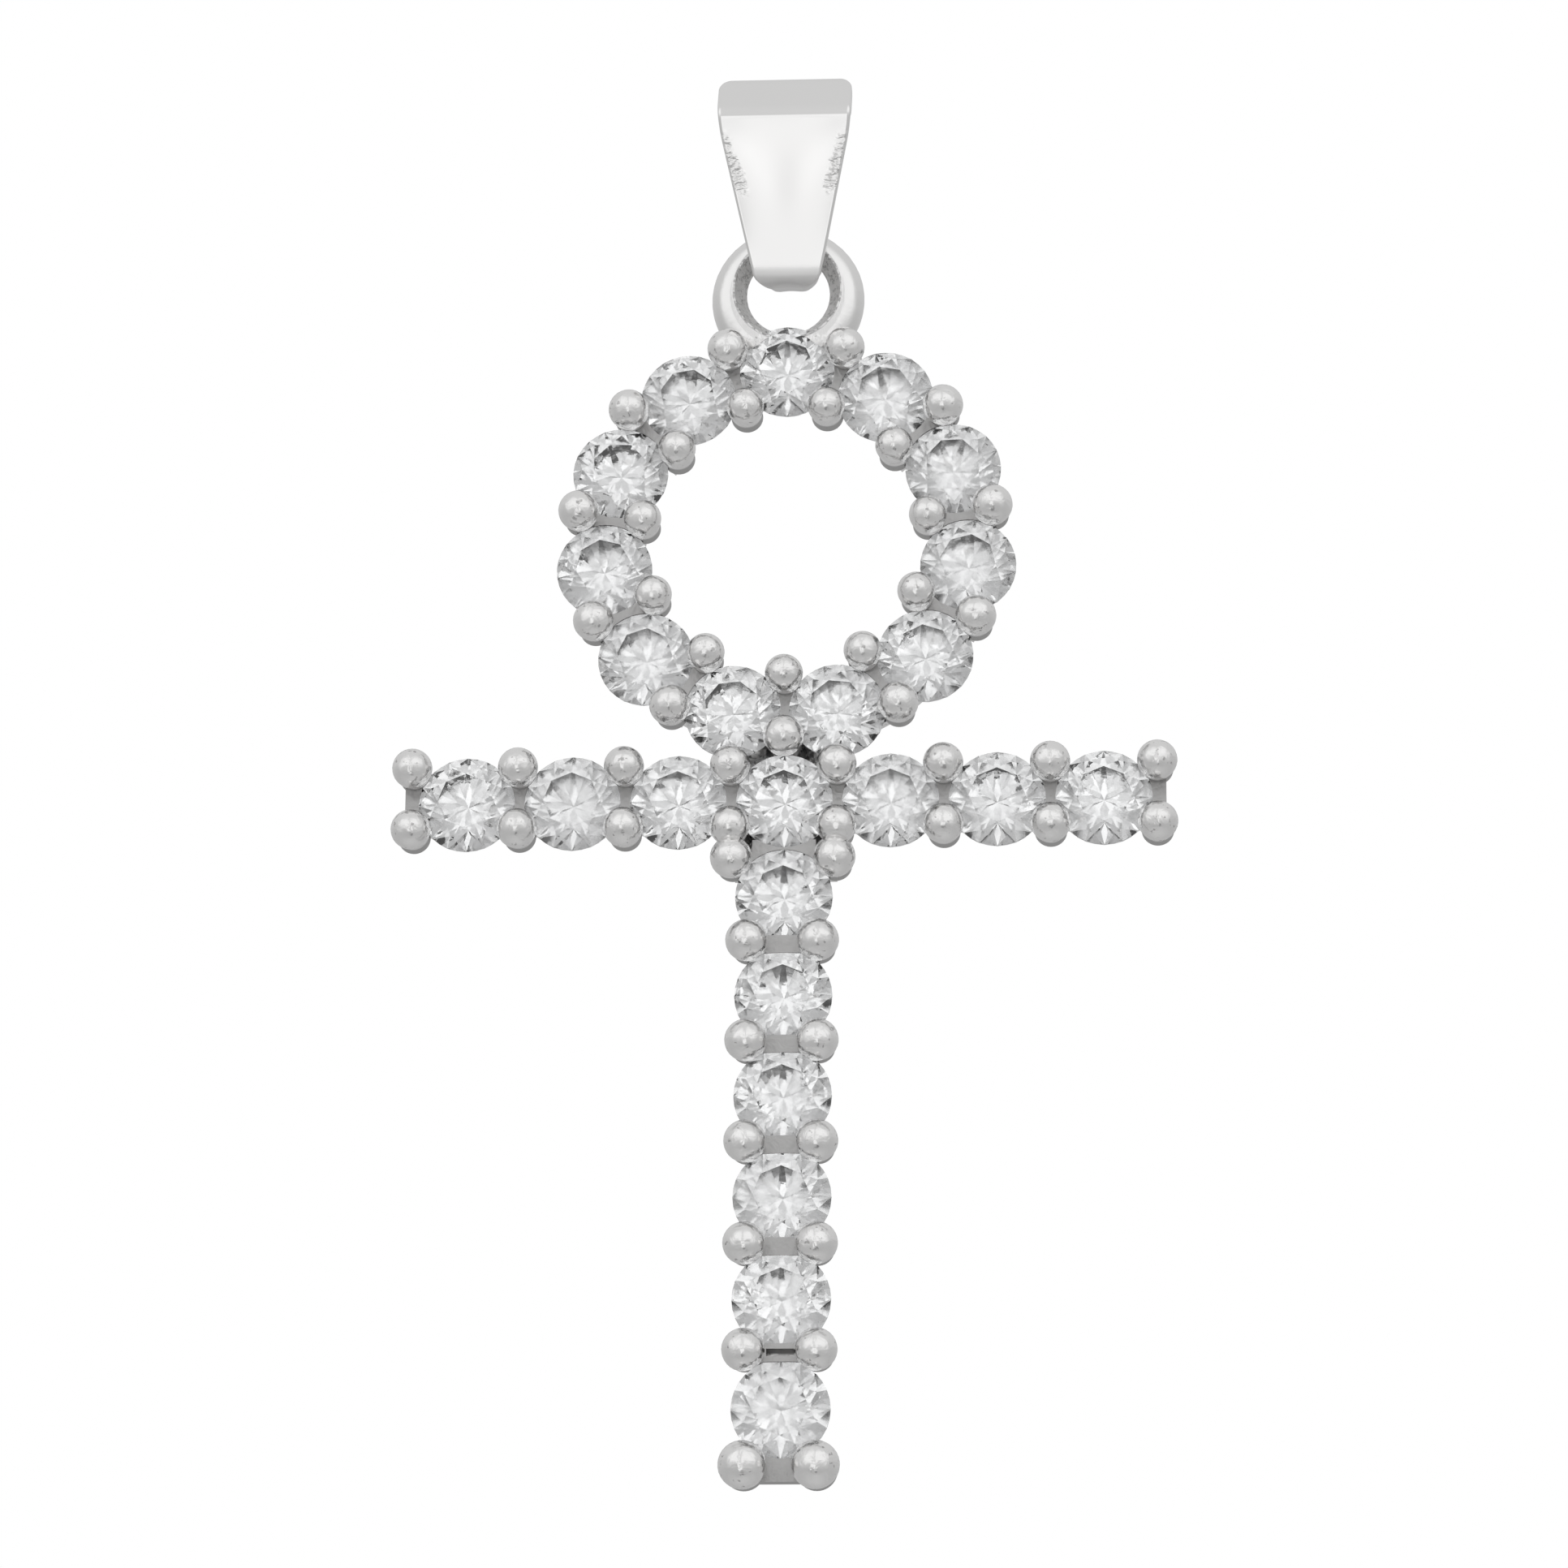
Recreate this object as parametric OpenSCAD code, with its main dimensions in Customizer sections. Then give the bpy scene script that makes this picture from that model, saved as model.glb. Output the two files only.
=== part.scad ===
// Ankh pendant with round stones in shared bead prongs, hanging from a tapered bail.
// Front is -Y and up is +Z. The origin is where a chain carries the bail, inside its top.

/* [Stones] */
// Diameter of each round stone
stone_d = 3.0; // [2.4:0.05:3.6]
// Diameter across the corners of the flat table
table_d = 1.74; // [1.3:0.02:1.9]
// Height of the crown, from the girdle to the table
crown_h = 0.46; // [0.3:0.02:0.7]
// Height of the plain band round the girdle
girdle_t = 0.09; // [0.04:0.01:0.2]
// Depth of the pavilion, from the girdle to the point
pavilion_h = 1.28; // [1.0:0.02:1.6]

/* [Spacing] */
// Gap between neighbouring stones in the ring
ring_gap = 0.24; // [0.1:0.02:0.6]
// Gap between neighbouring stones in the cross arms
arm_gap = 0.28; // [0.1:0.02:0.6]
// Gap between the crossing stone and the first stem stone
root_gap = 0.06; // [0.05:0.01:0.4]
// Gap between neighbouring stones in the stem
stem_gap = 0.14; // [0.08:0.02:0.6]
// Gap above the last stone of the stem
tip_gap = 0.34; // [0.1:0.02:0.6]

/* [Prongs] */
// Radius of the round beads on the outside of the ring
ring_bead_r = 0.64; // [0.5:0.01:0.72]
// Radius of the round beads on the inside of the ring
inner_bead_r = 0.59; // [0.5:0.01:0.7]
// Radius of the beads along the cross arms
arm_bead_r = 0.62; // [0.5:0.01:0.72]
// Radius of the beads along the stem
stem_bead_r = 0.65; // [0.5:0.01:0.75]
// Radius of the two large beads at the foot of the stem
tip_bead_r = 0.73; // [0.6:0.01:0.85]
// Radius of the posts that carry the beads
post_r = 0.5; // [0.4:0.01:0.6]
// Radius of the two posts at the foot of the stem
tip_post_r = 0.62; // [0.5:0.01:0.7]
// Radius of each post where it meets the rail
post_foot_r = 0.25; // [0.2:0.01:0.35]
// Depth behind the girdle plane at which the posts start to narrow
post_drop = 0.25; // [0.1:0.01:0.4]
// Height of the bead centres in front of the girdles
bead_rise = 0.75; // [0.5:0.05:1.0]
// How far each post laps over the edge of the stone that it holds
post_lap = 0.09; // [0.05:0.01:0.15]
// How far the two posts at the foot of the stem lap over the last stone
tip_lap = 0.02; // [0.01:0.01:0.1]
// Angle above the cross line of the stem at which the two root beads hold the first stone
root_angle = 34; // [28:1:42]

/* [Gallery] */
// Width of the back rail
rail_w = 1.3; // [1.1:0.05:1.6]
// Width of the back plate behind the crossing and up to the ring
cross_plate_w = 2.8; // [1.6:0.1:3.0]
// Thickness of the back rail
rail_t = 0.5; // [0.35:0.05:0.7]
// Metal left behind the point of each stone
point_cover = 0.06; // [0.05:0.01:0.3]
// Radius of the open hole behind each stone
azure_r = 0.42; // [0.32:0.01:0.5]
// How far inside the stone's edge the collet starts
collet_inset = 0.2; // [0.1:0.01:0.4]
// How much the collet narrows from the stone to the rail
collet_taper = 0.22; // [0.1:0.01:0.35]
// Depth of the collet's front edge behind the girdle plane
collet_drop = 0.22; // [0.15:0.01:0.35]
// Width of the bar that joins each pair of beads
bar_w = 0.55; // [0.4:0.05:0.7]
// Height of each bar's face in front of the girdle plane
bar_rise = 0.1; // [0.02:0.01:0.2]
// Height of the faces of the stem's bars in front of the girdle plane
stem_bar_rise = 0.3; // [0.02:0.01:0.36]
// Width of the flat bar at the foot of the stem
tip_bar_w = 0.8; // [0.5:0.05:1.0]
// Depth of that bar behind the girdle plane
tip_bar_drop = 0.35; // [0.2:0.01:0.6]
// Height of the slot in the bar above the last stone
slot_h = 0.22; // [0.1:0.01:0.3]
// Width of the slot in the bar above the last stone
slot_w = 0.85; // [0.5:0.05:1.2]
// Clearance round a stone in its seat
seat_play = 0.04; // [0.02:0.01:0.06]

/* [Loop] */
// Outer diameter of the loop above the ring
loop_d = 4.84; // [4.4:0.02:5.4]
// Thickness of the loop from front to back
loop_t = 1.2; // [0.9:0.05:1.4]
// Diameter of the loop's hole at its narrowest
loop_bore_d = 2.64; // [2.4:0.02:3.0]
// Diameter of the loop's hole at its front and back
loop_mouth_d = 3.36; // [3.2:0.02:3.6]
// How far the hole sits above the middle of the loop
loop_shift = 0.18; // [0.05:0.01:0.3]
// How far the top stone laps over the foot of the hole
loop_overlap = 0.1; // [0:0.02:0.6]
// Distance of the girdle plane in front of the loop's middle
girdle_front = 0.3; // [0.2:0.01:0.6]

/* [Bail] */
// Widest part of the bail
bail_w = 4.24; // [3.8:0.02:4.8]
// Thickness of the bail's strip
bail_t = 0.4; // [0.3:0.01:0.6]
// Length inside the bail, from the top to the hinge
bail_drop = 5.08; // [4.8:0.01:5.8]
// Angle by which the bail leans forwards over the ankh, as it is shown
bail_lean = 18; // [0:1:20]
// Depth of the bail from front to back, at its shoulders
bail_depth = 3.3; // [2.8:0.05:4.0]
// Outer radius of the rounded top between the shoulders
bail_top_r = 1.0; // [0.8:0.05:1.2]
// Depth below the inside of the top at which the shoulders bend
shoulder_drop = 0.92; // [0.86:0.02:1.2]
// Inner radius of the bends at the shoulders and the foot
bail_bend_r = 0.1; // [0.05:0.01:0.2]
// Depth below the inside of the top at which the bail is widest
bail_wide_z = 0.3; // [0.2:0.05:0.8]
// Radius of the bail's sides where they turn inwards below its widest place
bail_side_r = 7; // [5:0.5:9]
// Radius of the bail's upper corners as seen from the front
bail_corner_r = 0.36; // [0.1:0.02:0.5]
// Radius of the bail's lower corners as seen from the front
foot_corner_r = 0.44; // [0.1:0.02:0.5]
// Depth of the dip in the middle of the bail's lower edge
bail_dip = 0.06; // [0.03:0.01:0.12]
// Width of that dip
bail_dip_w = 1.0; // [0.6:0.05:1.4]
// Gap between the loop and the bottom of the bail at rest
hinge_play = 0.13; // [0.1:0.01:0.2]
// Gap between the loop and each leaf of the bail at the hinge, for the swing
swing_play = 0.25; // [0.2:0.01:0.4]
// Gap between the side of the loop's hole and the side of the bail's foot
foot_play = 0.25; // [0.2:0.01:0.4]

/* [Hidden] */
// The ring, each arm and the stem hold this many stones
ring_count = 11;
arm_count = 3;
stem_count = 6;
// Smoothness of the round shapes
round_fn = 64;
// Steps along each bend of the bail
bend_n = 8;
// Overshoot of a cut past the face it opens
past = 0.5;

// Sizes that follow from the stones
stone_r = stone_d / 2;
girdle_half = girdle_t / 2;
ring_step = 360 / ring_count;
ring_r = (stone_d + ring_gap) / (2 * sin(ring_step / 2));
arm_pitch = stone_d + arm_gap;
stem_pitch = stone_d + stem_gap;
// Distance from a stone's middle to the middle of a post that holds it
hold_r = stone_r + post_r - post_lap;
tip_hold_r = stone_r + tip_post_r - tip_lap;
// Half the distance across each pair of beads
arm_side = sqrt(pow(hold_r, 2) - pow(arm_pitch / 2, 2));
ring_side = sqrt(pow(hold_r, 2) - pow((stone_d + ring_gap) / 2, 2));
stem_side = sqrt(pow(hold_r, 2) - pow(stem_pitch / 2, 2));
// Distance past the last stone of the pair at the end of an arm, and at the foot of the stem
arm_end = arm_pitch / 2;
tip_end = sqrt(pow(tip_hold_r, 2) - pow(stem_side, 2));
// Radius of the circle through the middles of the ring's gaps
gap_r = ring_r * cos(ring_step / 2);
// Height of the ring's middle above the crossing stone, which shares the ring's lowest bead
ring_up = hold_r + gap_r + ring_side;

// Depths behind the girdle plane
rail_back = girdle_half + pavilion_h + point_cover;
rail_front = rail_back - rail_t;
rail_mid = rail_back - rail_t / 2;

// Foot of the bail in its own upright frame, and the hinge in the leaning bail
hinge_room = loop_t / 2 + swing_play;
bail_floor_z = -bail_drop - hinge_room;
bail_foot_z = bail_floor_z - bail_t;
hinge_y = bail_drop * sin(bail_lean);
hinge_z = -bail_drop * cos(bail_lean);

// Place of the loop below the chain
loop_r = loop_d / 2;
loop_bore_r = loop_bore_d / 2;
loop_mouth_r = loop_mouth_d / 2;
foot_half = loop_bore_r - foot_play;
loop_bore_z = hinge_z - hinge_room + hinge_play - sqrt(pow(loop_bore_r, 2) - pow(foot_half, 2));
loop_z = loop_bore_z - loop_shift;
top_stone_z = loop_bore_z - loop_bore_r - stone_r + loop_overlap;
cross_z = top_stone_z - ring_r - ring_up;

// Heights of the stem's stones below the crossing stone, from one to the last
function last_extra(i) = i == stem_count ? tip_gap - stem_gap : 0;
function stem_z(i) = -(stone_d + root_gap) - (i - 1) * stem_pitch - last_extra(i);
// Places in the plane of the girdles, as across and up from the crossing stone
function ring_at(radius, angle) = [radius * sin(angle), ring_up + radius * cos(angle)];
function ring_place(i) = ring_at(ring_r, (i - 1) * ring_step);
function gap_place(i, side) = ring_at(gap_r + side, (i - 0.5) * ring_step);
root_place = [hold_r * cos(root_angle), stem_z(1) + hold_r * sin(root_angle)];
arm_tip_x = arm_count * arm_pitch + arm_end;
stem_tip_z = stem_z(stem_count) - tip_end;
lone_place = gap_place((ring_count + 1) / 2, ring_side);
stone_places = concat(
    [for (i = [1:ring_count]) ring_place(i)],
    [for (i = [-arm_count:arm_count]) [i * arm_pitch, 0]],
    [for (i = [1:stem_count]) [0, stem_z(i)]]);

// Moves from the crossing stone's middle to the hanging place
module hang() translate([0, hinge_y - girdle_front, cross_z]) children();
// Puts a child that faces up at a place, facing the front
module face_front(place) translate([place[0], 0, place[1]]) rotate([90, 0, 0]) children();

// Corners of the brilliant cut, by turn and height
function on_ring(radius, angle, height) = [radius * cos(angle), radius * sin(angle), height];
// Main facets round the stone, and corners of the girdle along each of them
facet_n = 8;
fan_n = 4;
girdle_n = fan_n * facet_n;
facet_step = 360 / facet_n;
half_fan = facet_step / fan_n;
// The lower girdle facets run in to this share of the stone's radius
lower_share = 0.24;
star_r = (table_d / 2 + stone_r) / 2;
lower_r = stone_r * lower_share;
crown_slope = crown_h / (stone_r - table_d / 2);
pavilion_slope = pavilion_h / stone_r;
star_h = girdle_half + crown_slope * (stone_r - star_r * cos(facet_step / 2));
lower_h = -girdle_half - pavilion_slope * (stone_r - lower_r * cos(facet_step / 2));
// Fall of an upper or lower girdle facet from its inner corner to the girdle, and its height at a turn
function fan_height(inner_r, inner_h, edge_h, turn) =
    edge_h + (inner_h - edge_h) * (stone_r * cos(half_fan) - stone_r * cos(turn))
    / (stone_r * cos(half_fan) - inner_r * cos(half_fan));
function girdle_turn(j) = j * 360 / girdle_n;
function turn_in_fan(j) = abs(girdle_turn(j) % (2 * half_fan) - half_fan);

// Round stone: a flat table, star and kite facets, two fans of girdle facets and a pointed pavilion
module brilliant() {
    mains = [0:facet_n - 1];
    rims = [0:girdle_n - 1];
    table = [for (k = mains) on_ring(table_d / 2, k * facet_step, girdle_half + crown_h)];
    stars = [for (k = mains) on_ring(star_r, (k + 0.5) * facet_step, star_h)];
    rim_top = [for (j = rims)
        on_ring(stone_r, girdle_turn(j), fan_height(star_r, star_h, girdle_half, turn_in_fan(j)))];
    rim_low = [for (j = rims)
        on_ring(stone_r, girdle_turn(j), fan_height(lower_r, lower_h, -girdle_half, turn_in_fan(j)))];
    lowers = [for (k = mains) on_ring(lower_r, (k + 0.5) * facet_step, lower_h)];
    point = [[0, 0, -girdle_half - pavilion_h]];
    // First corner of each group in the list of points
    star_0 = len(table);
    top_0 = star_0 + len(stars);
    low_0 = top_0 + girdle_n;
    lower_0 = low_0 + girdle_n;
    point_0 = lower_0 + len(lowers);
    polyhedron(
        points = concat(table, stars, rim_top, rim_low, lowers, point),
        faces = concat(
            [[for (k = [facet_n - 1:-1:0]) k]],
            [for (k = mains) [k, (k + 1) % facet_n, star_0 + k]],
            [for (k = mains) let (before = (k + facet_n - 1) % facet_n)
                [k, star_0 + k, top_0 + fan_n * k, star_0 + before]],
            [for (k = mains) let (rim = top_0 + fan_n * k, next = top_0 + (fan_n * (k + 1)) % girdle_n) each [
                [star_0 + k, rim + 2, rim + 1, rim],
                [star_0 + k, next, rim + 3, rim + 2]]],
            [for (j = rims) let (next = (j + 1) % girdle_n)
                [top_0 + j, top_0 + next, low_0 + next, low_0 + j]],
            [for (k = mains) let (rim = low_0 + fan_n * k, next = low_0 + (fan_n * (k + 1)) % girdle_n) each [
                [lower_0 + k, rim, rim + 1, rim + 2],
                [lower_0 + k, rim + 2, rim + 3, next]]],
            [for (k = mains) let (before = (k + facet_n - 1) % facet_n)
                [point_0, lower_0 + before, low_0 + fan_n * k, lower_0 + k]]));
}

// Clear round space for one stone, a little larger all round
module seat() {
    slant_low = sqrt(pow(stone_r, 2) + pow(pavilion_h, 2)) / stone_r;
    slant_top = sqrt(1 + pow(crown_slope, 2));
    rim = stone_r + seat_play;
    crown_top = girdle_half + crown_h + seat_play;
    crown_edge = girdle_half + crown_slope * (stone_r - rim) + seat_play * slant_top;
    top_r = stone_r - (crown_top - girdle_half - seat_play * slant_top) / crown_slope;
    low_edge = -girdle_half + pavilion_slope * (rim - stone_r) - seat_play * slant_low;
    low_point = -girdle_half - pavilion_h - seat_play * slant_low;
    rotate_extrude($fn = round_fn)
        polygon([[0, low_point], [rim, low_edge], [rim, crown_edge], [top_r, crown_top], [0, crown_top]]);
}

// Cone that carries one stone on its inner edge, joined to the back rail
module collet() {
    start_r = stone_r - collet_inset;
    translate([0, 0, -rail_mid])
        cylinder(r1 = start_r - collet_taper, r2 = start_r, h = rail_mid - collet_drop, $fn = round_fn);
}

// Round bead on a post that narrows behind the girdle plane
module prong(bead_r, width_r = post_r) {
    translate([0, 0, bead_rise]) sphere(r = bead_r, $fn = round_fn);
    translate([0, 0, -post_drop]) cylinder(r = width_r, h = post_drop + bead_rise, $fn = round_fn);
    translate([0, 0, -rail_front])
        cylinder(r1 = post_foot_r, r2 = width_r, h = rail_front - post_drop, $fn = round_fn);
}

// Bar between two places, from just in front of the girdles back into the rail
module bar(from, to, wide = bar_w, back = rail_mid, rise = bar_rise) {
    run = to - from;
    translate([from[0], 0, from[1]])
        rotate([0, -atan2(run[1], run[0]), 0])
            translate([0, -rise, -wide / 2])
                cube([norm(run), rise + back, wide]);
}

// Two prongs and the bar that joins them
module pair(a, b, bead_a, bead_b, rise = bar_rise) {
    face_front(a) prong(bead_a);
    face_front(b) prong(bead_b);
    bar(a, b, rise = rise);
}

module rail() {
    rotate([-90, 0, 0]) translate([0, -ring_up, rail_front]) difference() {
        cylinder(r = ring_r + rail_w / 2, h = rail_t, $fn = 2 * round_fn);
        translate([0, 0, -past]) cylinder(r = ring_r - rail_w / 2, h = rail_t + 2 * past, $fn = 2 * round_fn);
    }
    arm_reach = arm_tip_x + bar_w / 2;
    translate([-arm_reach, rail_front, -rail_w / 2]) cube([2 * arm_reach, rail_t, rail_w]);
    translate([-rail_w / 2, rail_front, stem_tip_z]) cube([rail_w, rail_t, -stem_tip_z]);
    translate([-cross_plate_w / 2, rail_front, -cross_plate_w / 2])
        cube([cross_plate_w, rail_t, cross_plate_w / 2 + ring_up - ring_r]);
}

module prongs() {
    for (i = [1:ring_count])
        pair(gap_place(i, ring_side), gap_place(i, -ring_side), ring_bead_r, inner_bead_r);
    bar([0, 0], lone_place);
    for (i = [0:2 * arm_count - 1]) {
        x = (i + 0.5 - arm_count) * arm_pitch;
        pair([x, arm_side], [x, -arm_side], arm_bead_r, arm_bead_r);
    }
    for (side = [-1, 1])
        pair([side * arm_tip_x, arm_side], [side * arm_tip_x, -arm_side], arm_bead_r, arm_bead_r);
    pair([-root_place[0], root_place[1]], root_place, stem_bead_r, stem_bead_r);
    bar([-arm_side, stem_z(1) / 2], [arm_side, stem_z(1) / 2]);
    for (i = [1:stem_count - 1]) {
        z = (stem_z(i) + stem_z(i + 1)) / 2;
        pair([-stem_side, z], [stem_side, z], stem_bead_r, stem_bead_r, stem_bar_rise);
    }
    tips = [[-stem_side, stem_tip_z], [stem_side, stem_tip_z]];
    for (tip = tips) face_front(tip) prong(tip_bead_r, tip_post_r);
    bar(tips[0], tips[1], tip_bar_w, tip_bar_drop);
    bar(tips[0], tips[1], bar_w / 2);
}

// Round loop with a hole that flares to the front and the back
module loop() {
    flare = (loop_mouth_r - loop_bore_r) / (loop_t / 2);
    reach = loop_t / 2 + past;
    rotate([90, 0, 0]) difference() {
        rotate_extrude($fn = 2 * round_fn) {
            translate([0, -loop_t / 2]) square([loop_r - loop_t / 2, loop_t]);
            translate([loop_r - loop_t / 2, 0]) intersection() {
                circle(r = loop_t / 2, $fn = round_fn);
                translate([0, -loop_t]) square([loop_t, 2 * loop_t]);
            }
        }
        translate([0, loop_shift, 0]) rotate_extrude($fn = 2 * round_fn) polygon([
            [0, -reach],
            [loop_bore_r + flare * reach, -reach],
            [loop_bore_r, 0],
            [loop_bore_r + flare * reach, reach],
            [0, reach]]);
    }
}

module setting() color("gainsboro") difference() {
    union() {
        translate([0, hinge_y, loop_z]) loop();
        hang() {
            rail();
            prongs();
            for (place = stone_places) face_front(place) collet();
        }
    }
    hang() {
        for (place = stone_places) face_front(place) {
            seat();
            translate([0, 0, -rail_back - past])
                cylinder(r = azure_r, h = rail_t + 2 * past, $fn = round_fn);
        }
        slot_z = (stem_z(stem_count - 1) + stem_z(stem_count)) / 2;
        translate([-slot_w / 2, -past, slot_z - slot_h / 2]) cube([slot_w, past + rail_front, slot_h]);
    }
}

// Points along an arc, from one angle to another
function arc(middle, radius, from, to, steps) =
    [for (k = [0:steps]) let (a = from + (to - from) * k / steps) middle + radius * [cos(a), sin(a)]];

// Side outline of the bail, from front to back and up, so far inside its outer face
function bail_side(inside) =
    let (
        bend_r = bail_t + bail_bend_r,
        top = [0, bail_t - bail_top_r],
        shoulder = [bail_depth / 2 - bend_r, -shoulder_drop],
        foot = [hinge_room - bail_bend_r, bail_floor_z + bail_bend_r],
        fall = shoulder - top,
        slope = atan2(fall[1], fall[0]) + acos((bail_top_r - bend_r) / norm(fall)),
        lean = atan2(shoulder[0] - foot[0], shoulder[1] - foot[1]),
        half = concat(
            arc(top, bail_top_r - inside, 90, slope, 2 * bend_n),
            arc(shoulder, bend_r - inside, slope, -lean, bend_n),
            arc(foot, bend_r - inside, -lean, -90, 2 * bend_n)))
    concat(half, [for (k = [len(half) - 1:-1:1]) [-half[k][0], half[k][1]]]);

// Front outline of the bail: sides that turn inwards and run straight to the foot, and a dip below
module bail_front() {
    side_drop = -bail_wide_z - bail_floor_z;
    side_in = bail_w / 2 - foot_half;
    past_turn = bail_side_r - side_in;
    taper = atan2(side_drop, past_turn) - acos(bail_side_r / norm([side_drop, past_turn]));
    foot_x = foot_half - (foot_corner_r * (1 - sin(taper)) + bail_t * sin(taper)) / cos(taper);
    half = concat(
        arc([foot_x, bail_foot_z + foot_corner_r], foot_corner_r, -90, -taper, bend_n),
        arc([bail_w / 2 - bail_side_r, -bail_wide_z], bail_side_r, -taper, 0, bend_n),
        arc([bail_w / 2 - bail_corner_r, bail_t - bail_corner_r], bail_corner_r, 0, 90, bend_n));
    dip_r = (pow(bail_dip_w / 2, 2) + pow(bail_dip, 2)) / (2 * bail_dip);
    difference() {
        polygon(concat(half, [for (k = [len(half) - 1:-1:0]) [-half[k][0], half[k][1]]]));
        translate([0, bail_foot_z + bail_dip - dip_r]) circle(r = dip_r, $fn = round_fn);
    }
}

// One closed strip: a rounded top between two shoulders, a flat leaf in front and behind, and a flat foot
module bail() color("gainsboro") rotate([bail_lean, 0, 0]) intersection() {
    rotate([90, 0, 90]) linear_extrude(height = 2 * bail_w, center = true) difference() {
        polygon(bail_side(0));
        polygon(bail_side(bail_t));
    }
    rotate([90, 0, 0]) linear_extrude(height = 2 * bail_depth, center = true) bail_front();
}

// A stone in its seat, turned about its own axis
module stone(place, turn = 0) color("white") hang() face_front(place) rotate([0, 0, turn]) brilliant();

module ring_stone(i) stone(ring_place(i), -(i - 1) * ring_step);
module arm_stone(i) stone([i * arm_pitch, 0]);
module stem_stone(i) stone([0, stem_z(i)]);

bail();
setting();
arm_stone(0);  // cross_stone
ring_stone(1);  // ring_stone_1
ring_stone(2);  // ring_stone_2
ring_stone(3);  // ring_stone_3
ring_stone(4);  // ring_stone_4
ring_stone(5);  // ring_stone_5
ring_stone(6);  // ring_stone_6
ring_stone(7);  // ring_stone_7
ring_stone(8);  // ring_stone_8
ring_stone(9);  // ring_stone_9
ring_stone(10);  // ring_stone_10
ring_stone(11);  // ring_stone_11
arm_stone(-1);  // left_arm_stone_1
arm_stone(-2);  // left_arm_stone_2
arm_stone(-3);  // left_arm_stone_3
arm_stone(1);  // right_arm_stone_1
arm_stone(2);  // right_arm_stone_2
arm_stone(3);  // right_arm_stone_3
stem_stone(1);  // stem_stone_1
stem_stone(2);  // stem_stone_2
stem_stone(3);  // stem_stone_3
stem_stone(4);  // stem_stone_4
stem_stone(5);  // stem_stone_5
stem_stone(6);  // stem_stone_6
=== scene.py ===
"""Looks of the ankh pendant: polished silver bail, cast silver setting and clear round stones."""

import math

import bpy
import numpy as np
from mathutils import Matrix, Vector


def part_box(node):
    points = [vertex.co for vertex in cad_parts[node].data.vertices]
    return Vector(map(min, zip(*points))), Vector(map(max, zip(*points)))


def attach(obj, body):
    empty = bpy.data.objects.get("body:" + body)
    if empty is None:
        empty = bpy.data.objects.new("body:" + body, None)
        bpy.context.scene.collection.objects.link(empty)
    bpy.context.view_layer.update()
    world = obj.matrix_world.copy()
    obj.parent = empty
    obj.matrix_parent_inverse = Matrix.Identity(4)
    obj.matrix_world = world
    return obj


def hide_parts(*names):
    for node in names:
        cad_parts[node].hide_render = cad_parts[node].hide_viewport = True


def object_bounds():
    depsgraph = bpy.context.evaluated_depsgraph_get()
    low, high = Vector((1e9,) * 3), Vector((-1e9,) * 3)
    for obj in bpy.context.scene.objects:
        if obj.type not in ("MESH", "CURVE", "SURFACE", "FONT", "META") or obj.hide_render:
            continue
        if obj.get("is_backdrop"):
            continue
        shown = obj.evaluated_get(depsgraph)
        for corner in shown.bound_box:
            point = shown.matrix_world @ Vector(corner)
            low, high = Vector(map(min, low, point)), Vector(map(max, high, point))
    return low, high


MM = 0.001
# Camera: the photograph looks up at the front and a little from the right
CAMERA_AZIMUTH = 3.63
CAMERA_LOOKS_UP = 17.14
CAMERA_ROLL = 0.38
CAMERA_DISTANCE = 171.8 * MM
CAMERA_LENS = 127.76
CAMERA_SENSOR = 36.0
# Where the camera looks, across and up from the crossing stone's middle in the plane of the girdles
AIM_ACROSS = -0.02 * MM
AIM_UP = 0.57 * MM
# Depth of a stone in front of its girdle
CROWN = 0.505 * MM

# Bail, in millimetres and degrees: the strip's sizes are those of the solid that it stands for
BAIL_WIDE = 4.24
BAIL_WIDE_Z = -0.3
BAIL_T = 0.4
BAIL_DROP = 5.08
BAIL_LEAN = 18.0
BAIL_DEPTH = 3.3
BAIL_TOP_R = 1.0
SHOULDER_DROP = 0.92
BEND_R = 0.1
SIDE_R = 7.0
CORNER_R = 0.36
FOOT_CORNER_R = 0.5
DIP = 0.06
DIP_WIDE = 1.0
HINGE_ROOM = 0.85
FOOT_HALF = 1.07
FLOOR_Z = -BAIL_DROP - HINGE_ROOM
# The back leaf is this much narrower on each side, reached between these places forward of the middle
BACK_STEP = 0.2
BACK_FROM = (-0.5, 0.9)
# Rounded edge of the strip, and the slope with which its face falls away beside that edge
EDGE_R = 0.07
EDGE_SLOPE = 0.5
EDGE_WIDE = 0.08
# Slight hollow in the middle of each leaf, and how far from the middle plane the leaves begin
LEAF_HOLLOW = 0.06
LEAF_FROM = (0.3, 0.8)
# How far down the strip's outer face must look for the dip in the foot, as a share
DIP_FACING = (0.3, 0.95)
# Hand-worked ripples beside both edges: the depths between which they start and between which they end, how
# far in from the edge they reach where they start, how much further for each millimetre down, how ragged and
# how soft their inner border is, and how much they are stretched across
RIPPLE_TOP = (1.2, 1.8)
RIPPLE_LOW = (3.0, 3.5)
RIPPLE_IN = 0.12
RIPPLE_GAIN = 0.13
RIPPLE_RAGGED = 0.5
RIPPLE_FADE = 0.1
RIPPLE_STRETCH = (0.4, 1.0, 1.0)
# The foot is worn to satin from this far above its floor
WORN_REACH = 0.45
# The outer face lies this much inside the nominal size
POLISHED_OFF = 0.002
# Points along each stretch of the strip, and round its section
TOP_STEPS = 22
SLOPE_STEPS = 14
SHOULDER_STEPS = 14
LEAF_STEPS = 110
FOOT_BEND_STEPS = 18
FOOT_STEPS = 13
OUTER_STEPS = 90
INNER_STEPS = 24
EDGE_STEPS = 7

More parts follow.
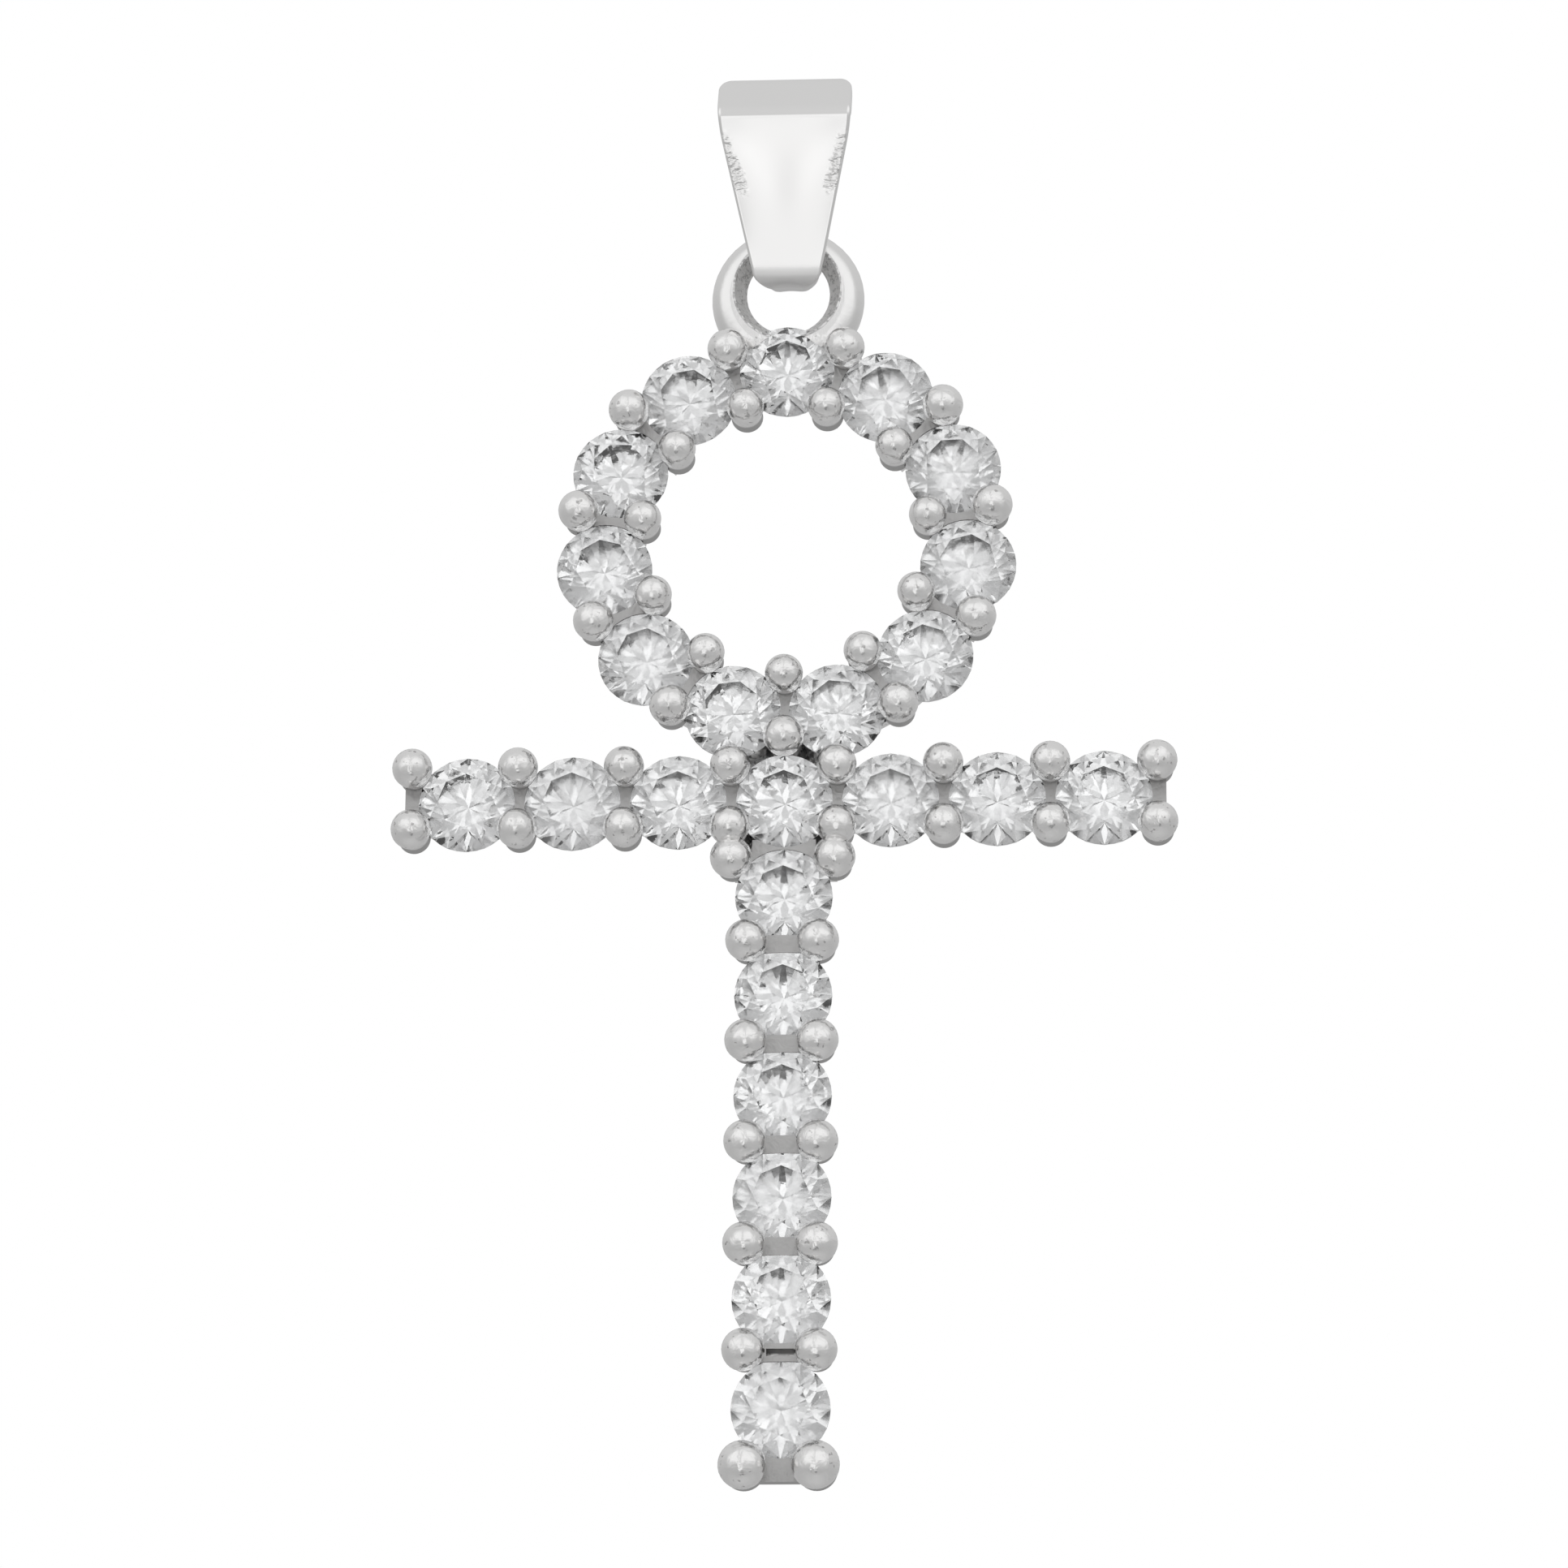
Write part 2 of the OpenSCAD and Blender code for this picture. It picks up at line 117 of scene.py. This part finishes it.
# Loop of the setting: its middle below the origin and behind the girdles, its hole, and how much the hole
# opens for each millimetre away from the middle
LOOP_Z = -6.324 * MM
LOOP_BACK = 0.3 * MM
LOOP_BORE_R = 1.32 * MM
LOOP_FLARE = 0.6
# The wall of the hole ends between these radii and between these heights
WALL_R = (LOOP_BORE_R + 0.03 * MM, LOOP_BORE_R + 0.09 * MM)
WALL_Z = (LOOP_Z - 2.2 * MM, LOOP_Z - 1.9 * MM)
# Above these heights lies the loop
ON_LOOP_Z = (LOOP_Z - 1.7 * MM, LOOP_Z - 1.4 * MM)
# Depths behind the girdles where the recesses begin and where they end; there the silver is rougher and
# painted darker as shade
RECESS_START = (-0.28 * MM, -0.12 * MM)
RECESS_END = (0.3 * MM, 0.7 * MM)
# The stem's bars, which stand further forward and are painted darker as shade like the recesses: where they
# begin, half their length, and where the stem begins
CROSS_Z = -23.23 * MM
STEM_BAR_START = (-0.36 * MM, -0.32 * MM)
STEM_BAR_HALF = (0.56 * MM, 0.62 * MM)
STEM_Z = (CROSS_Z - 4.0 * MM, CROSS_Z - 3.0 * MM)
# Tool marks end between these depths behind the girdles
MARKS_END = (-0.2 * MM, 0.1 * MM)

# Stage
FLOOR_DROP = 75.0 * MM
FLOOR_SIZE = 4.0
FLOOR_TINT = (0.93, 0.93, 0.93, 1.0)
FLOOR_ROUGH = 0.7


def glow_stops(table):
    """Ramp stops from elevations and strengths: each stop lies at half the elevation's sine plus a half."""
    return [(0.5 + 0.5 * math.sin(math.radians(elevation)), strength) for elevation, strength in table]


# Strength of the tent by elevation, in front and at the sides
TENT_FRONT = glow_stops([(-90, 0.54), (-60, 0.47), (-45, 0.44), (-25, 0.48), (-12, 0.56), (0, 0.67),
                         (8, 0.80), (18, 0.90), (35, 0.90), (50, 0.83), (66, 0.73), (90, 0.63)])
TENT_SIDE = glow_stops([(-90, 0.54), (-60, 0.50), (-30, 0.45), (0, 0.48), (30, 0.58), (90, 0.63)])
# Share of the way forwards at which the front takes over from the sides
TENT_EDGE = (0.15, 0.65)
# Upright panels in front: strength, then azimuth, half width, lowest and highest elevation and softness, in
# degrees
PANELS = [(0.63, -4.0, 4.0, 0.0, 78.0, 3.0), (0.93, -4.0, 9.0, -30.0, -4.0, 3.0)]
# Panels fade out between these shares of the way forwards
PANEL_EDGE = (0.0, 0.1)
# Round patches: what each adds, then azimuth, elevation, half width and softness, in degrees
PATCHES = [(0.17, -7.9, -25.0, 2.4, 1.2), (0.17, 0.1, -25.0, 2.4, 1.2), (-0.10, -3.9, -23.3, 1.0, 1.5),
           (-0.28, 6.0, -43.0, 7.0, 3.0)]
# Through the stones the tent looks brighter by the first of these, and by a share of what is over the last
STONE_LIFT = 0.06
STONE_SPARKLE = 0.5
SPARKLE_FROM = 0.55


class Field:
    """A socket's value in a node tree, so that maths on it reads as a plain expression."""

    def __init__(self, tree, socket):
        self.tree = tree
        self.socket = socket

    def math(self, operation, *others):
        node = self.tree.nodes.new("ShaderNodeMath")
        node.operation = operation
        for socket, value in zip(node.inputs, (self, *others)):
            feed(self.tree, socket, value)
        return Field(self.tree, node.outputs[0])

    def __add__(self, other):
        return self.math("ADD", other)

    __radd__ = __add__

    def __sub__(self, other):
        return self.math("SUBTRACT", other)

    def __rsub__(self, other):
        return (self * -1.0) + other

    def __mul__(self, other):
        return self.math("MULTIPLY", other)

    __rmul__ = __mul__

    def __truediv__(self, other):
        return self.math("DIVIDE", other)

    def __pow__(self, other):
        return self.math("POWER", other)

    def __abs__(self):
        return self.math("ABSOLUTE")

    def clipped(self):
        """The value kept between 0 and 1."""
        return self.math("MAXIMUM", 0.0).math("MINIMUM", 1.0)

    def step(self, low, high):
        """A smooth rise from 0 where the value is low to 1 where it is high."""
        share = ((self - low) / (high - low)).clipped()
        return share * share * (3.0 - 2.0 * share)


def feed(tree, socket, value):
    """Links a field to a socket, or sets the socket's own value."""
    if isinstance(value, Field):
        tree.links.new(value.socket, socket)
    else:
        socket.default_value = value


def pick(sockets, key):
    """A socket by its number, or the one in use that has a name. A node without that number gives nothing."""
    if isinstance(key, int):
        return sockets[key] if key < len(sockets) else None
    return next(socket for socket in sockets if socket.enabled and socket.name == key)


class Tree:
    """A node tree with one method that adds any node."""

    def __init__(self, tree):
        self.tree = tree
        tree.nodes.clear()

    def node(self, kind, settings=(), inputs=(), output=0):
        """Adds a node of a kind, with its settings first and then its inputs by name or number."""
        made = self.tree.nodes.new(kind)
        for name, value in dict(settings).items():
            if name == "stops":
                self.set_stops(made.color_ramp, value)
            else:
                setattr(made, name, value)
        for name, value in dict(inputs).items():
            feed(self.tree, pick(made.inputs, name), value)
        return Field(self.tree, pick(made.outputs, output))

    @staticmethod
    def set_stops(ramp, stops):
        """Places a ramp's stops, each a position and a grey."""
        while len(ramp.elements) < len(stops):
            ramp.elements.new(1.0)
        for element, (position, grey) in zip(ramp.elements, stops):
            element.position = position
            element.color = (grey, grey, grey, 1.0)

    def place(self):
        """Object coordinates, and their three parts."""
        where = self.node("ShaderNodeTexCoord", output="Object")
        return where, self.parts(where)

    def parts(self, vector):
        """The three parts of a vector."""
        split = self.node("ShaderNodeSeparateXYZ", inputs={0: vector})
        outputs = split.socket.node.outputs
        return [Field(self.tree, outputs[k]) for k in range(3)]

    def dot(self, vector, other):
        """The dot product of two vectors."""
        return self.node("ShaderNodeVectorMath", {"operation": "DOT_PRODUCT"}, {0: vector, 1: other}, "Value")

    def noise(self, where, scale, detail=2.0, rough=0.5, warp=0.0):
        """Soft noise from 0 to 1, with so many lumps to the metre."""
        return self.node("ShaderNodeTexNoise", inputs={
            "Vector": where, "Scale": scale, "Detail": detail, "Roughness": rough, "Distortion": warp,
        })


def material(name):
    """A new material and its tree, cleared."""
    made = bpy.data.materials.new(name)
    made.use_nodes = True
    return made, Tree(made.node_tree)


# Metal and stone
SILVER = (0.955, 0.95, 0.945, 1.0)
# Darker silver: painted shade in the recesses and on the stem's bars, and the dark specks of the casting skin
# and tool marks
SILVER_SHADE_AND_SPECKS = (0.56, 0.556, 0.552, 1.0)
STONE_TINT = (0.97, 0.975, 0.98, 1.0)
STONE_IOR = 2.15
BUMP_DEPTH = 0.02 * MM

# Noise of each finish: lumps to the metre, detail, roughness and warp
POLISHED_SOFT = (260.0,)
POLISHED_FINE = (5200.0, 3.0)
RIPPLES = (7000.0, 2.0)
RIPPLE_BORDER = (1800.0, 2.0)
CAST_SOFT = (900.0,)
CAST_DENTS = (2600.0, 2.0, 0.5, 0.4)
CAST_FINE = (9000.0, 3.0, 0.6)
CAST_SKIN = (6500.0, 4.0, 0.75)
CAST_MARKS = (4800.0, 2.0, 0.5)
STONE_UNEVEN = (520.0, 2.0, 0.6, 0.5)
STONE_HAZE = (600.0, 2.0, 0.5)
STONE_FINE = (5200.0, 3.0, 0.6)
# Values of the noise between which marks and haze appear, and the contrast and offset of the casting skin
MARKS_FROM = (0.64, 0.72)
HAZE_FROM = (0.50, 0.60)
SKIN_CONTRAST = 7.0
SKIN_OFFSET = 2.6

# Roughness of each finish: clean, and what each pattern or place adds
POLISHED_ROUGH = {"clean": 0.07, "soft": 0.05, "fine": 0.03, "worked": 0.10, "worn": 0.38}
CAST_ROUGH = {"clean": 0.15, "soft": 0.08, "dull": 0.20, "fine": 0.10}
STONE_ROUGH = {"clean": 0.015, "haze": 0.12}
# Height of each pattern, in bump depths
POLISHED_HIGH = {"soft": 0.05, "fine": 0.003, "worked": 2.4}
CAST_HIGH = {"soft": 0.6, "dents": 2.4, "loop_dents": 0.5, "fine": 0.2, "skin": 1.0}
STONE_HIGH = {"uneven": 1.5, "fine": 0.08}


def bumped(t, height):
    """A normal that follows a height, counted in bump depths."""
    return t.node("ShaderNodeBump", inputs={"Strength": 1.0, "Distance": BUMP_DEPTH, "Height": height})


def surface(t, inputs):
    """Ends a material in one principled shader that has these inputs."""
    t.node("ShaderNodeOutputMaterial", inputs={0: t.node("ShaderNodeBsdfPrincipled", inputs=inputs)})


def polished_silver():
    """Smooth bright silver of the bail, rippled by hand beside its edges and worn to satin at its foot.

    The ripples lie at a distance in from the sides, which are taken as straight lines down to the foot."""
    made, t = material("polished_silver")
    where, (x, y, z) = t.place()
    lean = math.radians(BAIL_LEAN)
    down = (y * math.sin(lean) - z * math.cos(lean)) / MM
    worn = down.step(-FLOOR_Z - WORN_REACH, -FLOOR_Z)
    narrowing = (BAIL_WIDE / 2 - FOOT_HALF) / (BAIL_WIDE_Z - FLOOR_Z)
    inside = BAIL_WIDE / 2 - (down + BAIL_WIDE_Z) * narrowing - abs(x) / MM
    ragged = RIPPLE_RAGGED * (t.noise(where, *RIPPLE_BORDER) - 0.5)
    reach = RIPPLE_IN + RIPPLE_GAIN * (down - RIPPLE_TOP[0]) + ragged
    worked = (reach - inside).step(-RIPPLE_FADE, RIPPLE_FADE)
    worked = worked * down.step(*RIPPLE_TOP) * (1.0 - down.step(*RIPPLE_LOW))
    flat = t.node("ShaderNodeVectorMath", {"operation": "MULTIPLY"}, {0: where, 1: RIPPLE_STRETCH})
    ripple = t.noise(flat, *RIPPLES) - 0.5
    soft = t.noise(where, *POLISHED_SOFT)
    fine = t.noise(where, *POLISHED_FINE)
    high, rough = POLISHED_HIGH, POLISHED_ROUGH
    height = high["soft"] * soft + high["fine"] * fine + high["worked"] * worked * ripple
    roughness = rough["clean"] + rough["soft"] * soft + rough["fine"] * fine
    roughness = roughness + rough["worked"] * worked + rough["worn"] * worn
    surface(t, {"Base Color": SILVER, "Metallic": 1.0, "Roughness": roughness, "Normal": bumped(t, height)})
    return made


def cast_silver():
    """Silver of the setting: the beads and the loop are polished; the bars and recesses are rougher and
    painted darker as shade.

    How rough and how darkly shaded a place is follows its depth behind the girdles. The wall of the loop's
    hole, which lies nearer to the loop's middle than the flared cone, keeps its rough casting skin with dark
    specks."""
    made, t = material("cast_silver")
    where, (x, y, z) = t.place()
    depth = y - girdle_y()
    soft = t.noise(where, *CAST_SOFT)
    dents = t.noise(where, *CAST_DENTS)
    fine = t.noise(where, *CAST_FINE)
    up = z - LOOP_Z
    out = (x * x + up * up) ** 0.5
    wall = 1.0 - (out - LOOP_FLARE * abs(depth - LOOP_BACK)).step(*WALL_R)
    wall = wall * z.step(*WALL_Z)
    on_loop = z.step(*ON_LOOP_Z)
    # The recesses and the stem's bars are rougher and painted darker as shade
    recess = depth.step(*RECESS_START) * (1.0 - on_loop)
    stem_bar = depth.step(*STEM_BAR_START) * (1.0 - abs(x).step(*STEM_BAR_HALF)) * (1.0 - z.step(*STEM_Z))
    recess = recess.math("MAXIMUM", stem_bar) * (1.0 - depth.step(*RECESS_END))
    dull = recess.math("MAXIMUM", wall)
    skin = (SKIN_CONTRAST * t.noise(where, *CAST_SKIN) - SKIN_OFFSET).clipped()
    marks = t.noise(where, *CAST_MARKS).step(*MARKS_FROM) * (1.0 - depth.step(*MARKS_END)) * (1.0 - on_loop)
    high, rough = CAST_HIGH, CAST_ROUGH
    dented = high["dents"] - (high["dents"] - high["loop_dents"]) * on_loop
    height = high["soft"] * soft + dented * dents + high["fine"] * fine + high["skin"] * wall * skin
    roughness = rough["clean"] + rough["soft"] * soft + rough["dull"] * dull + rough["fine"] * fine * dull
    # Painted shade in the recesses and on the stem's bars, with the casting skin's dark specks in the hole's
    # wall and random tool marks
    darker = recess.math("MAXIMUM", wall * (1.0 - skin)).math("MAXIMUM", marks)
    colour = t.node("ShaderNodeMix", {"data_type": "RGBA"}, {"Factor": darker, "A": SILVER, "B": SILVER_SHADE_AND_SPECKS},
                    output="Result")
    surface(t, {"Base Color": colour, "Metallic": 1.0, "Roughness": roughness, "Normal": bumped(t, height)})
    return made


def clear_stone():
    """Clear, hard, highly refracting stone, cut by hand so that its facets are a little uneven."""
    made, t = material("clear_stone")
    where, _ = t.place()
    uneven = t.noise(where, *STONE_UNEVEN)
    haze = t.noise(where, *STONE_HAZE).step(*HAZE_FROM)
    fine = t.noise(where, *STONE_FINE)
    surface(t, {
        "Base Color": STONE_TINT,
        "Roughness": STONE_ROUGH["clean"] + STONE_ROUGH["haze"] * haze,
        "IOR": STONE_IOR,
        "Transmission Weight": 1.0,
        "Normal": bumped(t, STONE_HIGH["uneven"] * uneven + STONE_HIGH["fine"] * fine),
    })
    return made


def dress(node, finish):
    """Gives a carried-over node one finish all over."""
    node.data.materials.clear()
    node.data.materials.append(finish)


def girdle_y():
    """Depth at which the widest parts of all the stones lie."""
    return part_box("cross_stone")[0].y + CROWN


def camera(cross):
    """The photograph's camera, from its angles and its distance to the point it looks at."""
    across = math.radians(CAMERA_AZIMUTH)
    up = math.radians(CAMERA_LOOKS_UP)
    forward = Vector((-math.sin(across) * math.cos(up), math.cos(across) * math.cos(up), math.sin(up)))
    aim = Vector((cross.x + AIM_ACROSS, girdle_y(), cross.z + AIM_UP))
    data = bpy.data.cameras.new("camera")
    data.lens = CAMERA_LENS
    data.sensor_width = CAMERA_SENSOR
    data.clip_start = 1.0 * MM
    made = bpy.data.objects.new("camera", data)
    bpy.context.scene.collection.objects.link(made)
    turn = forward.to_track_quat("-Z", "Y").to_matrix() @ Matrix.Rotation(math.radians(CAMERA_ROLL), 3, "Z")
    made.matrix_world = Matrix.Translation(aim - forward * CAMERA_DISTANCE) @ turn.to_4x4()
    bpy.context.scene.camera = made


def lobe(t, direction, azimuth, elevation, half_width, soft):
    """A soft round patch of light on the surroundings, 1 in the middle and 0 outside.

    Its value is a smooth step of the cosine between the direction looked in and the patch's middle."""
    a, e = math.radians(azimuth), math.radians(elevation)
    middle = (math.sin(a) * math.cos(e), -math.cos(a) * math.cos(e), math.sin(e))
    cosine = t.dot(direction, middle)
    return cosine.step(math.cos(math.radians(half_width + soft)), math.cos(math.radians(half_width - soft)))


def panel(t, direction, azimuth, half_width, low, high, soft):
    """A soft upright panel in front, 1 between two elevations and within so many degrees of its middle.

    Its value is the product of two smooth steps: one of how far a ray points to the side of the panel's
    middle plane, and one of how high it points."""
    a = math.radians(azimuth)
    sideways = t.dot(direction, (math.cos(a), math.sin(a), 0.0))
    _, ahead, height = t.parts(direction)
    side, bottom, top = ([math.sin(math.radians(edge - soft)), math.sin(math.radians(edge + soft))]
                         for edge in (half_width, low, high))
    inside = 1.0 - abs(sideways).step(*side)
    upright = height.step(*bottom) * (1.0 - height.step(*top))
    return inside * upright * (ahead * -1.0).step(*PANEL_EDGE)


def surroundings():
    """A pale tent, brightest in front above the camera, white where the camera sees it.

    Its glow follows the height that a ray points to, and falls off to grey at the sides and behind."""
    world = bpy.data.worlds.new("tent")
    world.use_nodes = True
    bpy.context.scene.world = world
    t = Tree(world.node_tree)
    direction = t.node("ShaderNodeTexCoord", output="Generated")
    _, ahead, height = t.parts(direction)
    front = t.node("ShaderNodeValToRGB", {"stops": TENT_FRONT}, {0: height * 0.5 + 0.5})
    side = t.node("ShaderNodeValToRGB", {"stops": TENT_SIDE}, {0: height * 0.5 + 0.5})
    facing = (ahead * -1.0).step(*TENT_EDGE)
    glow = side + (front - side) * facing
    for strength, *shape in PANELS:
        glow = glow + (strength - glow) * panel(t, direction, *shape)
    for added, *shape in PATCHES:
        glow = glow + added * lobe(t, direction, *shape)
    path = t.node("ShaderNodeLightPath", output="Is Transmission Ray")
    glow = glow + path * (STONE_LIFT + STONE_SPARKLE * (glow - SPARKLE_FROM).clipped())
    seen = t.node("ShaderNodeLightPath", output="Is Camera Ray")
    strength = glow * (1.0 - seen) + seen
    t.node("ShaderNodeOutputWorld", inputs={0: t.node(
        "ShaderNodeBackground", inputs={"Color": (1.0, 1.0, 1.0, 1.0), "Strength": strength},
    )})


def floor():
    """A wide plain pale floor below the pendant."""
    made, t = material("pale_floor")
    surface(t, {"Base Color": FLOOR_TINT, "Roughness": FLOOR_ROUGH})
    half = FLOOR_SIZE / 2
    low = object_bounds()[0].z - FLOOR_DROP
    corners = [(-half, -half, low), (half, -half, low), (half, half, low), (-half, half, low)]
    mesh = bpy.data.meshes.new("floor")
    mesh.from_pydata(corners, [], [(0, 1, 2, 3)])
    mesh.materials.append(made)
    piece = bpy.data.objects.new("floor", mesh)
    piece.visible_glossy = False
    piece.visible_transmission = False
    bpy.context.scene.collection.objects.link(piece)
    piece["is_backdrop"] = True


def smooth(value, low, high):
    """A smooth rise from 0 at low to 1 at high: 3 share squared less 2 share cubed."""
    share = np.clip((value - low) / (high - low), 0.0, 1.0)
    return share * share * (3.0 - 2.0 * share)


def arc_part(centre, radius, start, end, steps):
    """Points and outward angles along an arc: centre plus radius times (cosine, sine) of the angle."""
    angle = np.radians(np.linspace(start, end, steps))
    return centre[0] + radius * np.cos(angle), centre[1] + radius * np.sin(angle), angle


def line_part(arc_a, arc_b, steps):
    """Points between the end of one arc and the start of the next, at a shared outward angle."""
    share = (np.arange(steps) + 1.0) / (steps + 1.0)
    forward = arc_a[0][-1] * (1.0 - share) + arc_b[0][0] * share
    height = arc_a[1][-1] * (1.0 - share) + arc_b[1][0] * share
    return forward, height, np.full(steps, arc_b[2][0])


def bail_path():
    """Middle line of the strip seen from the side: how far forward, how high, and the outward angle.

    The front half runs from the top down to the foot: an arc round the top, a straight slope, the bend at the
    shoulder, the straight leaf, the bend at the foot and half of the flat foot. The back half mirrors it."""
    bend = BAIL_T + BEND_R
    top = (0.0, BAIL_T - BAIL_TOP_R)
    shoulder = (BAIL_DEPTH / 2 - bend, -SHOULDER_DROP)
    foot = (HINGE_ROOM - BEND_R, FLOOR_Z + BEND_R)
    fall = (shoulder[0] - top[0], shoulder[1] - top[1])
    slope = math.degrees(math.atan2(fall[1], fall[0]) + math.acos((BAIL_TOP_R - bend) / math.hypot(*fall)))
    lean = math.degrees(math.atan2(shoulder[0] - foot[0], shoulder[1] - foot[1]))
    inset = BAIL_T / 2
    arc_top = arc_part(top, BAIL_TOP_R - inset, 90.0, slope, TOP_STEPS)
    arc_shoulder = arc_part(shoulder, bend - inset, slope, -lean, SHOULDER_STEPS)
    arc_foot = arc_part(foot, bend - inset, -lean, -90.0, FOOT_BEND_STEPS)
    flat_foot = (np.linspace(foot[0], 0.0, FOOT_STEPS + 1)[1:], np.full(FOOT_STEPS, foot[1] - bend + inset),
                 np.full(FOOT_STEPS, -math.pi / 2))
    parts = [arc_top, line_part(arc_top, arc_shoulder, SLOPE_STEPS), arc_shoulder,
             line_part(arc_shoulder, arc_foot, LEAF_STEPS), arc_foot, flat_foot]
    forward, height, angle = (np.concatenate([part[k] for part in parts]) for k in range(3))
    back = slice(-2, 0, -1)
    return (np.concatenate([forward, -forward[back]]), np.concatenate([height, height[back]]),
            np.concatenate([angle, math.pi - angle[back]]))


def side_turn():
    """Angle at which the bail's sides run down to the foot, so that an arc and a straight line meet there."""
    drop, turned = BAIL_WIDE_Z - FLOOR_Z, SIDE_R - (BAIL_WIDE / 2 - FOOT_HALF)
    return math.atan2(drop, turned) - math.acos(SIDE_R / math.hypot(drop, turned))


def bail_half(height):
    """Half the bail's width at a height, with round corners.

    Below the widest place the side is an arc, and then a straight taper that touches the arc."""
    turn = side_turn()
    below = np.clip(BAIL_WIDE_Z - height, 0.0, None)
    on_arc = np.minimum(below, SIDE_R * math.sin(turn))
    half = BAIL_WIDE / 2 - SIDE_R + np.sqrt(SIDE_R ** 2 - on_arc ** 2) - (below - on_arc) * math.tan(turn)
    over = np.clip(height - (BAIL_T - CORNER_R), 0.0, CORNER_R)
    under = np.clip(FLOOR_Z - BAIL_T + FOOT_CORNER_R - height, 0.0, FOOT_CORNER_R)
    cut_top = CORNER_R - np.sqrt(CORNER_R ** 2 - over ** 2)
    cut_low = FOOT_CORNER_R - np.sqrt(FOOT_CORNER_R ** 2 - under ** 2)
    return half - cut_top - cut_low


def bail_section(outer_n, inner_n, edge_n):
    """The strip's section as a closed line, by three numbers for each point.

    It runs over the outer face, round one edge, back over the inner face and round the other edge. Each point
    has a share across the flat part, and the cosine and sine of its turn round the edge."""
    outer, inner = np.linspace(-1.0, 1.0, outer_n), np.linspace(1.0, -1.0, inner_n)
    turn = np.radians(np.linspace(90.0, -90.0, edge_n + 2)[1:-1])
    share = np.concatenate([outer, np.ones(edge_n), inner, -np.ones(edge_n)])
    sideways = np.concatenate([np.zeros(outer_n), np.cos(turn), np.zeros(inner_n), -np.cos(turn)])
    outward = np.concatenate([np.ones(outer_n), np.sin(turn), -np.ones(inner_n), -np.sin(turn)])
    return share, sideways, outward


def closed_grid(name, points):
    """A mesh on a grid of points that closes on itself both ways, with its faces pointing outwards."""
    rows, columns = points.shape[:2]
    number = np.arange(rows * columns).reshape(rows, columns)
    right, down = np.roll(number, -1, 1), np.roll(number, -1, 0)
    corner = np.roll(right, -1, 0)
    faces = np.stack([number, down, corner, right], -1).reshape(-1, 4)
    mesh = bpy.data.meshes.new(name)
    mesh.from_pydata((points.reshape(-1, 3) * MM).tolist(), [], faces.tolist())
    mesh.polygons.foreach_set("use_smooth", np.ones(len(faces), bool))
    mesh.update()
    piece = bpy.data.objects.new(name, mesh)
    bpy.context.scene.collection.objects.link(piece)
    return piece


def bail_strip():
    """The bail: a section carried along the strip's closed middle line, as wide at each height as its sides.

    The face falls with the square of the distance towards each side, and each leaf is hollowed a little by a
    parabola both ways."""
    forward, height, angle = (part[:, None] for part in bail_path())
    share, sideways, outward = (part[None, :] for part in bail_section(OUTER_STEPS, INNER_STEPS, EDGE_STEPS))
    outer_height = height + BAIL_T / 2 * np.sin(angle)
    back = smooth(-forward, *BACK_FROM)
    half = bail_half(np.clip(outer_height, FLOOR_Z - BAIL_T, BAIL_T)) - BACK_STEP * back
    across = share * (half - EDGE_R) + sideways * EDGE_R
    on_leaf = smooth(np.abs(forward), *LEAF_FROM)
    to_side = np.clip((np.abs(across) - (half - EDGE_WIDE)) / EDGE_WIDE, 0.0, 1.0)
    face = np.clip(outward, 0.0, 1.0)
    fall = EDGE_SLOPE * EDGE_WIDE * to_side ** 2 / 2
    share_down = np.clip((-height - SHOULDER_DROP) / (-FLOOR_Z - SHOULDER_DROP), 0.0, 1.0)
    hollow = LEAF_HOLLOW * on_leaf * 4.0 * share_down * (1.0 - share_down) * (1.0 - (across / half) ** 2)
    dip_r = ((DIP_WIDE / 2) ** 2 + DIP ** 2) / (2 * DIP)
    dip = np.clip(DIP - dip_r + np.sqrt(np.clip(dip_r ** 2 - across ** 2, 0.0, None)), 0.0, DIP)
    dip = dip * smooth(-np.sin(angle), *DIP_FACING) * np.clip(-np.sin(angle), 0.0, 1.0)
    sunk = face * (POLISHED_OFF + fall + dip + hollow)
    depth = np.where(np.abs(outward) == 1.0, outward * BAIL_T / 2,
                     np.sign(outward) * (BAIL_T / 2 - EDGE_R) + outward * EDGE_R) - sunk
    y = -(forward + depth * np.cos(angle))
    z = height + depth * np.sin(angle)
    lean = math.radians(BAIL_LEAN)
    leaning = (y * math.cos(lean) - z * math.sin(lean), y * math.sin(lean) + z * math.cos(lean))
    points = np.stack([np.broadcast_to(across, y.shape), *leaning], -1)
    piece = closed_grid("bail_strip", points)
    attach(piece, "bail")
    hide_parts("bail")
    return piece


def middle(node):
    """The middle of a node's box."""
    low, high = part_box(node)
    return (low + high) / 2


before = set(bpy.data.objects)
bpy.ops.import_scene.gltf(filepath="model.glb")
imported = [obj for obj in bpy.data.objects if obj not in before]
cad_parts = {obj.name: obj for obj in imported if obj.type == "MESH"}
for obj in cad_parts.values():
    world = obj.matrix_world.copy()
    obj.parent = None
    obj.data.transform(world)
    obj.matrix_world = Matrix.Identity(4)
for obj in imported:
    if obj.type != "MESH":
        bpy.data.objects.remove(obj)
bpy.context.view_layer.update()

bpy.context.scene.view_settings.view_transform = "Standard"
camera(middle("cross_stone"))
surroundings()
floor()

silver, cast, stone = polished_silver(), cast_silver(), clear_stone()
dress(bail_strip(), silver)
for name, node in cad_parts.items():
    dress(node, silver if name == "bail" else cast if name == "setting" else stone)
